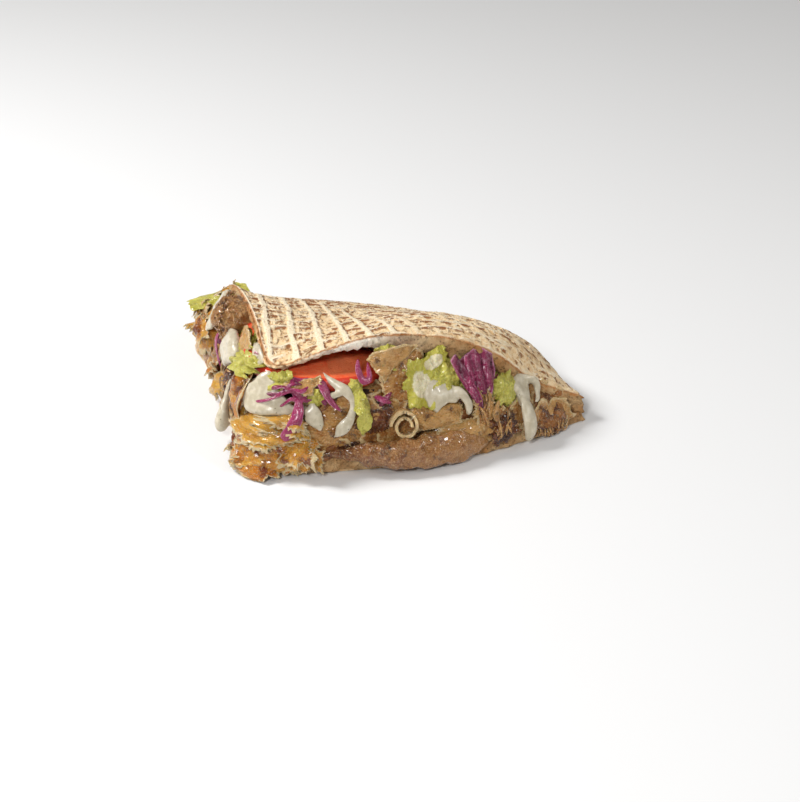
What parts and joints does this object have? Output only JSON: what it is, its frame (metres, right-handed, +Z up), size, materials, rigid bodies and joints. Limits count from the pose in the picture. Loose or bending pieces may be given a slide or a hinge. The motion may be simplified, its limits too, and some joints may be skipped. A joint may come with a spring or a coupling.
{
  "type": "doner kebab sandwich",
  "caption": "Quarter of a round grilled flatbread, split open along its cuts and filled with sliced doner meat, tomato, lettuce, red cabbage and white sauce.",
  "frame": {"origin": "Middle of the object's bounding box in X and Y, at its base.", "axes": "X runs along the long front cut to the right tip, Y along the left cut towards the round crust at the back, Z is up."},
  "size_m": [0.1968, 0.1976, 0.0668],
  "materials": {
    "crust": "grilled flatbread crust, pale ridges and browned hollows, dry",
    "meat": "sliced roast doner meat, moist, fibrous",
    "crisp_meat": "crisp browned meat edges, slightly greasy",
    "tomato": "ripe tomato, wet skin and flesh",
    "lettuce": "yellow-green lettuce, waxy",
    "red_cabbage": "red cabbage shreds, waxy, pink-white cut edges",
    "sauce": "white yoghurt and herb sauce, smooth, moist"
  },
  "bodies": {
    "root": {"bread": "crust", "crisp_flake_left": "crisp_meat", "crisp_flake_low": "crisp_meat", "crisp_flake_middle": "crisp_meat", "crisp_flake_top": "crisp_meat", "crisp_flake_upper": "crisp_meat", "crisp_fringe_left": "crisp_meat", "lettuce_back": "lettuce", "lettuce_back_frill": "lettuce", "lettuce_corner": "lettuce", "lettuce_frill": "lettuce", "lettuce_left": "lettuce", "lettuce_middle": "lettuce", "lettuce_nub": "lettuce", "lettuce_pale": "lettuce", "lettuce_rib": "lettuce", "lettuce_right": "lettuce", "lettuce_small": "lettuce", "lettuce_top": "lettuce", "meat_ball_left": "crisp_meat", "meat_crumbled": "meat", "meat_curl": "meat", "meat_curl_left": "crisp_meat", "meat_dark_left": "meat", "meat_far_left": "meat", "meat_fold": "meat", "meat_frayed": "meat", "meat_heap": "meat", "meat_orange_left": "crisp_meat", "meat_pale_left": "meat", "meat_roll": "meat", "meat_slice_behind": "meat", "meat_slice_dark": "meat", "meat_slice_front": "meat", "meat_slice_left": "meat", "meat_slice_middle": "meat", "meat_slice_pointed": "meat", "meat_slice_right": "meat", "meat_slice_small": "meat", "meat_slice_wide": "meat", "red_cabbage_bits": "red_cabbage", "red_cabbage_cluster": "red_cabbage", "red_cabbage_dark": "red_cabbage", "red_cabbage_leaf": "red_cabbage", "red_cabbage_left": "red_cabbage", "red_cabbage_loop": "red_cabbage", "red_cabbage_strip": "red_cabbage", "red_cabbage_under_tomato": "red_cabbage", "salad_heap": "lettuce", "sauce_corner": "sauce", "sauce_drape": "sauce", "sauce_drip_left": "sauce", "sauce_drip_right": "sauce", "sauce_drop": "sauce", "sauce_left": "sauce", "sauce_middle": "sauce", "sauce_on_ball": "sauce", "sauce_on_tomato": "sauce", "tomato_slice_corner": "tomato", "tomato_slice_right": "tomato"}
  },
  "joints": []
}
